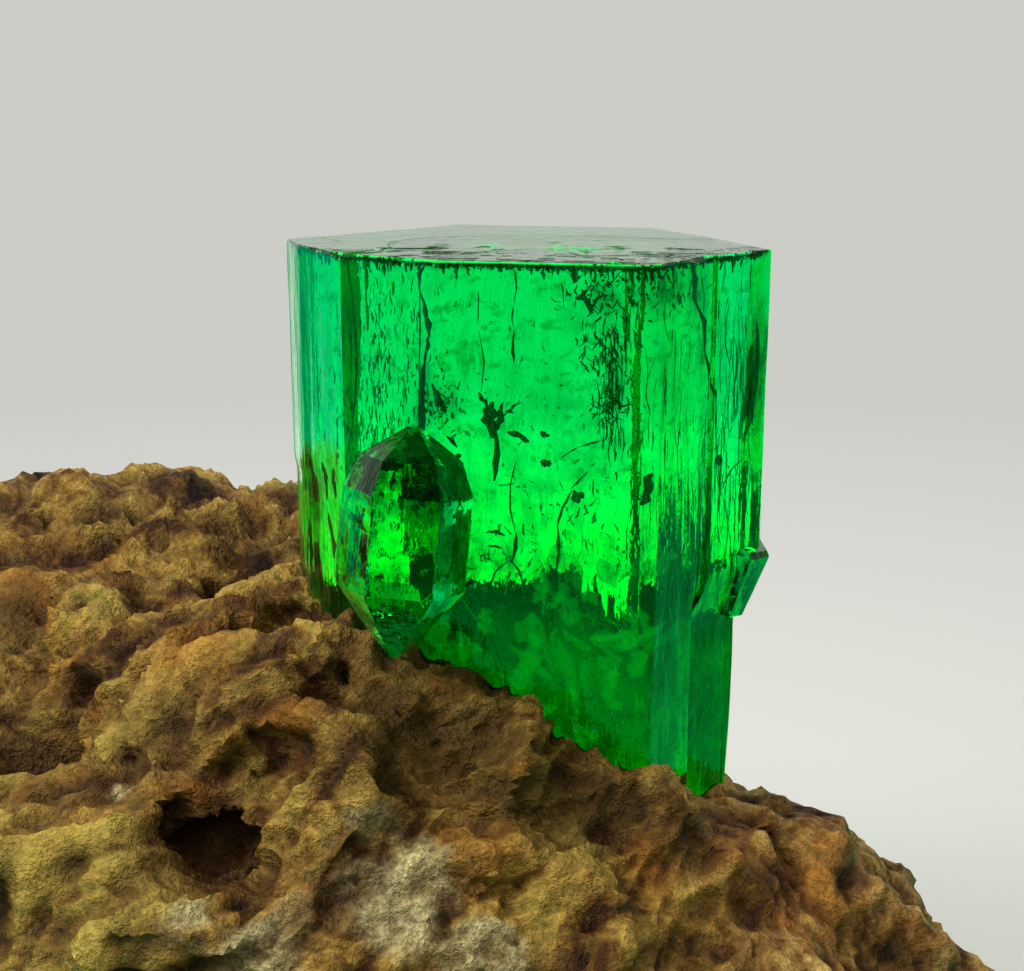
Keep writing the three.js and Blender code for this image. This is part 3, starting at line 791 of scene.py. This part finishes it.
def kept_inside(start, end, width, tone, depth):
    """The blades that lie within the large crystal: their ends held between the root
    and the top face, their depth to what the crystal has there, and those that reach
    past its sides left out."""
    lowest = 14.6 - 0.35 * (start[:, 0:1] - 4)
    start[:, 1:] = np.clip(start[:, 1:], lowest, TOP - 0.05)
    end[:, 1:] = np.clip(end[:, 1:], lowest + 0.05, TOP - 0.05)
    along = np.stack([start[:, 0], end[:, 0]])
    right_end = 9.6 - 0.85 * (1 - smooth_step(17.2, 18.6, np.minimum(start[:, 1], end[:, 1])))
    deepest = np.interp(along.mean(axis=0), [-2.0, 0.5, 8.0, 9.6], [0.3, 6, 6, 0.3])
    inside = (along.min(axis=0) > -2.1) & (along.max(axis=0) < right_end)
    depth = np.minimum(depth, deepest)
    return tuple(part[inside] for part in (start, end, width, tone, depth))


def put_together(groups):
    """The groups' starts one after another, and likewise their ends and the rest."""
    return tuple(np.concatenate(parts) for parts in zip(*groups))


def crystal_marks():
    """All the blades: the single ones, the swarms, the drips, and those in the small
    crystal and the shard, which are painted shade and painted highlights."""
    rng = np.random.default_rng(MARKS_SEED)
    groups = [single_blades()]
    for count, along, up, lengths, width, lean, deepest, tone in BLADE_SWARMS:
        swarm = scattered(rng, count, along, up, lengths, width, lean, tone)
        groups.append((*swarm, rng.uniform(0.04, deepest, count)))
    groups.append(drips(rng))
    groups = [kept_inside(*put_together(groups))]
    for count, along, deep, up, lengths, width, lean, tone in GROWN_ON_SHADE_AND_HIGHLIGHT_SWARMS:
        swarm = scattered(rng, count, along, up, lengths, width, lean, tone)
        middle = (swarm[0] + swarm[1]) / 2
        groups.append((*swarm, rng.normal(*deep, count) - front_y(middle[:, 0], middle[:, 1])))
    start, end, width, tone, depth = put_together(groups)
    return blades("crystal_marks", start, end, width, depth, tone, rng)


# Materials

DARK = (0.0, 0.0, 0.0)
BERYL_IOR = 1.58


def new_material(name):
    """A material with no nodes yet, and its node tree."""
    material = bpy.data.materials.new(name)
    material.use_nodes = True
    tree = material.node_tree
    tree.nodes.clear()
    return material, tree


def add(tree, kind, inputs=None, **settings):
    """One node, with its settings and the numbers or links of its inputs."""
    node = tree.nodes.new(kind)
    for key, value in settings.items():
        setattr(node, key, value)
    for key, value in (inputs or {}).items():
        if isinstance(value, bpy.types.NodeSocket):
            tree.links.new(value, node.inputs[key])
        else:
            node.inputs[key].default_value = value
    return node


def ramp(tree, fac, stops):
    """A colour ramp through (place, colour) stops."""
    node = add(tree, "ShaderNodeValToRGB", {"Fac": fac})
    elements = node.color_ramp.elements
    while len(elements) < len(stops):
        elements.new(0.5)
    for element, (place, colour) in zip(elements, stops):
        element.position = place
        element.color = (*colour, 1)
    return node.outputs["Color"]


def millimetres(tree, stretch=(1, 1, 1), turn=(0, 0, 0)):
    """Object coordinates in millimetres, turned and stretched."""
    coordinates = add(tree, "ShaderNodeTexCoord")
    mapping = add(tree, "ShaderNodeMapping", {
        "Vector": coordinates.outputs["Object"],
        "Scale": [s / MM for s in stretch],
        "Rotation": [math.radians(t) for t in turn],
    })
    return mapping.outputs["Vector"]


def noise_node(tree, vector, scale, detail, roughness, distortion=0.0):
    """Noise with scale cells to the millimetre and detail finer layers, each roughness
    times as strong as the one before, its places shifted by distortion."""
    return add(tree, "ShaderNodeTexNoise", {
        "Vector": vector, "Scale": scale, "Detail": detail, "Roughness": roughness,
        "Distortion": distortion,
    }).outputs["Fac"]


def attribute(tree, name):
    """The number that the mesh holds at each vertex under this name."""
    return add(tree, "ShaderNodeAttribute", attribute_name=name).outputs["Fac"]


def mix(tree, fac, a, b, blend="MIX"):
    """From colour a at 0 to colour b at 1, or to a blended with b."""
    node = tree.nodes.new("ShaderNodeMix")
    node.data_type = "RGBA"
    node.blend_type = blend
    for socket, value in ((node.inputs[0], fac), (node.inputs[6], a), (node.inputs[7], b)):
        if isinstance(value, bpy.types.NodeSocket):
            tree.links.new(value, socket)
        else:
            socket.default_value = value if isinstance(value, (int, float)) else (*value, 1)
    return node.outputs[2]


def rerange(tree, value, low, high, to_low=0.0, to_high=1.0):
    """The value taken straight from one range to another, held within its ends."""
    return add(tree, "ShaderNodeMapRange", {
        "Value": value, "From Min": low, "From Max": high, "To Min": to_low, "To Max": to_high,
    }).outputs["Result"]


def arithmetic(tree, operation, a, b):
    """One operation on two numbers."""
    return add(tree, "ShaderNodeMath", {0: a, 1: b}, operation=operation).outputs[0]


def rock_material():
    """Brown rock: noise picks its colour, combed noise that of the fibrous part, and the
    mesh's patches lay ochre, olive and quartz over them, and painted shade under the crystal.
    Crests are lighter and hollows darker: painted light and shade. The socket's wall, seen only
    through the crystal, is painted green and glows: painted light in the crystal's lower part."""
    material, tree = new_material("brown_matrix_rock")
    material.cycles.emission_sampling = "NONE"
    place = millimetres(tree)
    middle = noise_node(tree, place, 0.6, 4, 0.65, 0.6)
    grain = noise_node(tree, place, 5.0, 3, 0.7)
    body = ramp(tree, middle, [
        (0.36, (0.050, 0.018, 0.003)),
        (0.44, (0.120, 0.058, 0.010)),
        (0.51, (0.220, 0.135, 0.034)),
        (0.58, (0.330, 0.225, 0.075)),
        (0.68, (0.200, 0.165, 0.040)),
    ])
    fibres = noise_node(tree, millimetres(tree, (1.6, 1.6, 0.28), (25, 38, 0)), 1.5, 3, 0.66)
    fibrous_colour = ramp(tree, fibres, [
        (0.36, (0.080, 0.034, 0.012)),
        (0.47, (0.210, 0.120, 0.045)),
        (0.60, (0.340, 0.240, 0.130)),
    ])

    def patch(colour, name, strength, tint):
        """The colour, with a tint laid over it by the number that the mesh holds."""
        return mix(tree, arithmetic(tree, "MULTIPLY", attribute(tree, name), strength), colour, tint)

    colour = patch(body, "fibrous", 0.8, fibrous_colour)
    colour = patch(colour, "olive", 0.7, (0.330, 0.275, 0.080))
    rust = rerange(tree, noise_node(tree, place, 0.42, 2, 0.5, 0.8), 0.58, 0.70, 0.0, 0.65)
    colour = mix(tree, rust, colour, (0.260, 0.110, 0.016))
    colour = patch(colour, "ochre", 0.75, (0.270, 0.110, 0.014))
    quartz_colour = ramp(tree, grain, [
        (0.36, (0.26, 0.235, 0.18)),
        (0.52, (0.36, 0.34, 0.28)),
        (0.68, (0.44, 0.43, 0.38)),
    ])
    quartz = rerange(tree, attribute(tree, "quartz"), 0.25, 0.65, 0.0, 0.85)
    colour = mix(tree, quartz, colour, quartz_colour)
    # Painted light and shade: crests lighter, creases darker.
    crease_shade_and_crest_light = ramp(tree, rerange(tree, attribute(tree, "crest"), -0.9, 1.0), [
        (0.0, (0.16, 0.09, 0.05)),
        (0.35, (0.55, 0.46, 0.36)),
        (0.65, (1.0, 0.97, 0.9)),
        (1.0, (1.35, 1.3, 1.15)),
    ])
    colour = mix(tree, 1.0, colour, crease_shade_and_crest_light, "MULTIPLY")
    # Painted shade under the crystal, from the shaded patches.
    colour = patch(colour, "shaded", 0.88, (0.050, 0.027, 0.003))
    # Painted shade in the hollows, pores and holes.
    hollow = rerange(tree, attribute(tree, "hollow"), 0.12, 0.9, 0.0, 0.88)
    colour = mix(tree, hollow, colour, (0.045, 0.017, 0.004))
    colour = mix(tree, 1.0, colour, rerange(tree, grain, 0.3, 0.7, 0.62, 1.3), "MULTIPLY")
    colour = mix(tree, 1.0, colour, (0.79, 0.74, 0.43), "MULTIPLY")
    # The socket's wall: painted green, with a painted glow, standing in for light that reaches the
    # crystal's lower part.
    socket = attribute(tree, "embedded")
    colour = mix(tree, socket, colour, (0.12, 0.45, 0.02))
    painted_socket_glow = ramp(tree, middle, [
        (0.38, (0.0, 0.040, 0.0)),
        (0.48, (0.0, 0.150, 0.003)),
        (0.58, (0.0, 0.280, 0.010)),
        (0.68, (0.01, 0.45, 0.05)),
    ])
    bumps = add(tree, "ShaderNodeBump", {
        "Strength": 0.8, "Distance": 0.0003,
        "Height": arithmetic(tree, "ADD", noise_node(tree, place, 2.6, 4, 0.72), grain),
    })
    surface = add(tree, "ShaderNodeBsdfPrincipled", {
        "Base Color": colour,
        "Roughness": rerange(tree, grain, 0.35, 0.7, 0.36, 0.75),
        "Specular IOR Level": 0.16,
        "Emission Color": mix(tree, socket, DARK, painted_socket_glow),
        "Emission Strength": 1.0,
        "Normal": bumps.outputs["Normal"],
    })
    add(tree, "ShaderNodeOutputMaterial", {"Surface": surface.outputs["BSDF"]})
    return material


def marks_material():
    """Dark green mineral: a blade's tone takes it from nearly black to a pale veil that
    is clearer and glows a little, in place of the light that comes down the crystal."""
    material, tree = new_material("dark_green_mineral")
    material.cycles.emission_sampling = "NONE"
    tone = attribute(tree, "tone")
    colour = ramp(tree, tone, [
        (0.0, (0.0, 0.045, 0.008)),
        (0.3, (0.0, 0.130, 0.016)),
        (0.6, (0.0, 0.320, 0.045)),
        (1.0, (0.02, 0.60, 0.12)),
    ])
    worn = noise_node(tree, millimetres(tree), 6.0, 2, 0.55)
    veil = rerange(tree, tone, 0.68, 0.95)
    surface = add(tree, "ShaderNodeBsdfPrincipled", {
        "Base Color": colour,
        "Roughness": rerange(tree, worn, 0.3, 0.7, 0.35, 0.6),
        "Specular IOR Level": 0.1,
        "Emission Color": mix(tree, veil, DARK, (0.0, 0.20, 0.015)),
        "Emission Strength": 1.0,
        "Alpha": rerange(tree, tone, 0.1, 1.0, 0.92, 0.2),
    })
    add(tree, "ShaderNodeOutputMaterial", {"Surface": surface.outputs["BSDF"]})
    return material


def emerald_material():
    """Clear beryl. Its faces' tint runs from yellow green at the foot to clear at the
    top, with darker wisps, flecks and upright veins and the mesh's dark clouds and painted
    shade, and the volume inside takes away red. Upright streaks and pits are finer than the mesh."""
    material, tree = new_material("clear_emerald")
    streaks = noise_node(tree, millimetres(tree, (1, 1, 0.09)), 3.2, 2, 0.6)
    pitting = noise_node(tree, millimetres(tree, (1, 1, 0.5)), 4.5, 2, 0.6)
    height = arithmetic(tree, "ADD", arithmetic(tree, "MULTIPLY", streaks, 0.7),
                        arithmetic(tree, "MULTIPLY", pitting, 0.4))
    bumps = add(tree, "ShaderNodeBump", {"Strength": 0.35, "Distance": 0.0001, "Height": height})
    place = millimetres(tree)
    height_up = add(tree, "ShaderNodeSeparateXYZ", {"Vector": place}).outputs["Z"]
    drift = noise_node(tree, place, 0.45, 2, 0.6, 0.5)
    level = arithmetic(tree, "ADD", height_up, arithmetic(tree, "MULTIPLY", drift, 5.0))
    zoned = ramp(tree, rerange(tree, level, 16.5, 26.5), [
        (0.20, (0.90, 0.95, 0.02)),
        (0.38, (0.95, 0.95, 0.12)),
        (0.60, (1, 0.98, 0.55)),
        (0.85, (1, 1, 0.92)),
    ])
    tall = noise_node(tree, millimetres(tree, (1, 1, 0.4)), 1.1, 3, 0.62, 0.8)
    wisps = rerange(tree, tall, 0.52, 0.70, 0.0, 0.7)
    low = noise_node(tree, millimetres(tree, (1, 1, 1.5)), 2.3, 2, 0.62, 0.4)
    flecks = rerange(tree, low, 0.55, 0.67, 0.0, 0.85)
    veins = rerange(tree, streaks, 0.58, 0.72, 0.0, 0.4)
    inside = arithmetic(tree, "MAXIMUM", arithmetic(tree, "MAXIMUM", wisps, veins), flecks)
    zoned = mix(tree, inside, zoned, (0.22, 0.30, 0.08))
    torn = rerange(tree, pitting, 0.3, 0.6, 0.55, 1.15)
    # Darkening by the mesh's clouds and painted shade.
    cloud = arithmetic(tree, "MULTIPLY", attribute(tree, "clouds_and_painted_shade"), torn)
    cloud = arithmetic(tree, "MINIMUM", cloud, 0.96)
    colour = mix(tree, cloud, zoned, (0.0, 0.02, 0.012))
    surface = add(tree, "ShaderNodeBsdfPrincipled", {
        "Base Color": colour,
        "Roughness": 0.0,
        "IOR": BERYL_IOR,
        "Transmission Weight": 1.0,
        "Specular Tint": (0.0, 0.7, 0.1, 1),
        "Normal": bumps.outputs["Normal"],
    })
    depth = add(tree, "ShaderNodeVolumeAbsorption", {
        "Color": (0.0, 0.9968, 0.947, 1), "Density": 4000.0,
    })
    add(tree, "ShaderNodeOutputMaterial", {
        "Surface": surface.outputs["BSDF"], "Volume": depth.outputs["Volume"],
    })
    return material


# Floor, light and camera

PALE = (0.605, 0.61, 0.575)
FLOOR_SPOKES = 96
FLOOR_HEIGHT = -0.02
FOCAL_PIXELS = 1600
FRAME_PIXELS = 1024
LOOKING_DOWN = 13.8
CAMERA_PLACE = np.array([3.653, -39.48, 29.65])


def by_path(tree, seen, soft, through):
    """One value for what the camera sees, one for the soft light on dull surfaces and
    one for what is seen through the crystals or mirrored in them."""
    path = add(tree, "ShaderNodeLightPath").outputs
    return mix(tree, path["Is Camera Ray"], mix(tree, path["Is Diffuse Ray"], through, soft), seen)


def pale_floor():
    """A flat disc: rings of growing radius just below the rock's base."""
    radii = np.concatenate([[1.0], np.geomspace(5, 900, 30)])[::-1]
    turns = np.linspace(0, 2 * math.pi, FLOOR_SPOKES, endpoint=False)
    r, t = np.meshgrid(radii, turns, indexing="ij")
    rings = np.stack([r * np.cos(t), r * np.sin(t), np.full_like(r, FLOOR_HEIGHT)], axis=-1)
    index, after, quads = ring_faces(len(radii), FLOOR_SPOKES)
    middle = np.stack([np.full(FLOOR_SPOKES, index.size), index[-1], after[-1]], axis=-1)
    points = np.concatenate([rings.reshape(-1, 3), [[0, 0, FLOOR_HEIGHT]]])
    floor = mesh_object("pale_floor", points, quads, middle)
    floor.data.materials.append(floor_material())


def floor_material():
    """Pale ground that fades into one even colour with distance. What the crystals let
    through or mirror of it is pale in a wedge behind them and green beside it."""
    material, tree = new_material("pale_floor")
    place = add(tree, "ShaderNodeTexCoord").outputs["Object"]
    reach = add(tree, "ShaderNodeVectorMath", {0: place}, operation="LENGTH").outputs["Value"]
    toward = add(tree, "ShaderNodeSeparateXYZ", {
        "Vector": add(tree, "ShaderNodeVectorMath", {0: place}, operation="NORMALIZE").outputs["Vector"],
    })
    aside = arithmetic(tree, "ABSOLUTE", toward.outputs["X"], 0)
    aside = arithmetic(tree, "MULTIPLY", aside, 0.35)
    behind = arithmetic(tree, "SUBTRACT", toward.outputs["Y"], aside)
    to_right = rerange(tree, toward.outputs["X"], -0.6, 0.6)
    beside = mix(tree, to_right, (0.01, 0.84, 0.66), (0.01, 0.50, 0.16))
    lit = mix(tree, rerange(tree, behind, 0.5, 0.78), beside, (0.86, 0.87, 0.86))
    dim = (0.30, 0.29, 0.26)
    near = add(tree, "ShaderNodeBsdfDiffuse", {"Color": by_path(tree, (0.34, 0.34, 0.325), dim, lit)})
    far = add(tree, "ShaderNodeEmission", {"Color": by_path(tree, PALE, dim, lit), "Strength": 1.0})
    fade = rerange(tree, reach, 0.03, 0.12)
    both = add(tree, "ShaderNodeMixShader", {0: fade, 1: near.outputs[0], 2: far.outputs[0]})
    add(tree, "ShaderNodeOutputMaterial", {"Surface": both.outputs[0]})
    return material


def pale_surroundings():
    """The world, by direction. The camera sees one pale colour, and dull surfaces are
    lit most from above. The crystals mirror a dim sky, and let through a dim green one
    in front of them and the bright one behind."""
    world = bpy.data.worlds.new("pale_surroundings")
    bpy.context.scene.world = world
    world.use_nodes = True
    tree = world.node_tree
    tree.nodes.clear()
    direction = add(tree, "ShaderNodeTexCoord").outputs["Generated"]
    parts = add(tree, "ShaderNodeSeparateXYZ", {"Vector": direction})
    back = rerange(tree, parts.outputs["Y"], 0.0, 0.8)
    high = rerange(tree, parts.outputs["Z"], 0.3, 0.8)
    level = mix(tree, back, (0.16, 0.20, 0.19), (0.68, 0.70, 0.67))
    soft = mix(tree, high, level, (2.8, 2.8, 2.68))
    mirrored = mix(tree, high, level, (0.10, 0.14, 0.11))
    inward = mix(tree, back, (0.20, 0.40, 0.26), soft)
    glossy = add(tree, "ShaderNodeLightPath").outputs["Is Glossy Ray"]
    through = mix(tree, glossy, inward, mirrored)
    sky = add(tree, "ShaderNodeBackground", {"Color": by_path(tree, PALE, soft, through)})
    add(tree, "ShaderNodeOutputWorld", {"Surface": sky.outputs[0]})


def soft_light(name, place, aim, size, power):
    """A round lamp, aimed at a point, its size in millimetres and its power in watts."""
    lamp = bpy.data.lights.new(name, "AREA")
    lamp.shape = "DISK"
    lamp.size = size * MM
    lamp.energy = power
    obj = placed(name, lamp)
    obj.location = np.array(place) * MM
    toward = np.array(aim, dtype=float) - place
    obj.rotation_euler = Vector(toward).to_track_quat("-Z", "Y").to_euler()


def camera():
    """The photograph's view: the lens that gives its focal length in pixels on a frame
    36 mm wide, looking down on the crystals."""
    data = bpy.data.cameras.new("camera")
    data.sensor_width = 36
    data.lens = 36 * FOCAL_PIXELS / FRAME_PIXELS
    data.clip_start = 0.001
    data.clip_end = 10
    obj = placed("camera", data)
    obj.location = CAMERA_PLACE * MM
    obj.rotation_euler = (math.radians(90 - LOOKING_DOWN), 0, 0)
    bpy.context.scene.camera = obj


camera()
pale_surroundings()
pale_floor()
soft_light("key_light", (-70, -40, 90), (0, 0, 12), 50, 0.12)

rock = matrix_rock()
rock.data.materials.append(rock_material())
crystals = emerald_crystals()
crystals.data.materials.append(emerald_material())
marks = crystal_marks()
marks.data.materials.append(marks_material())
for piece, cad_node, slot in (
    (rock, "matrix_rock", "matrix"),
    (crystals, "emerald_crystals", "emerald"),
    (marks, "emerald_crystals", "emerald"),
):
    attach(piece, "root")
    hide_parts(cad_node)

bpy.context.scene.view_settings.view_transform = "Standard"
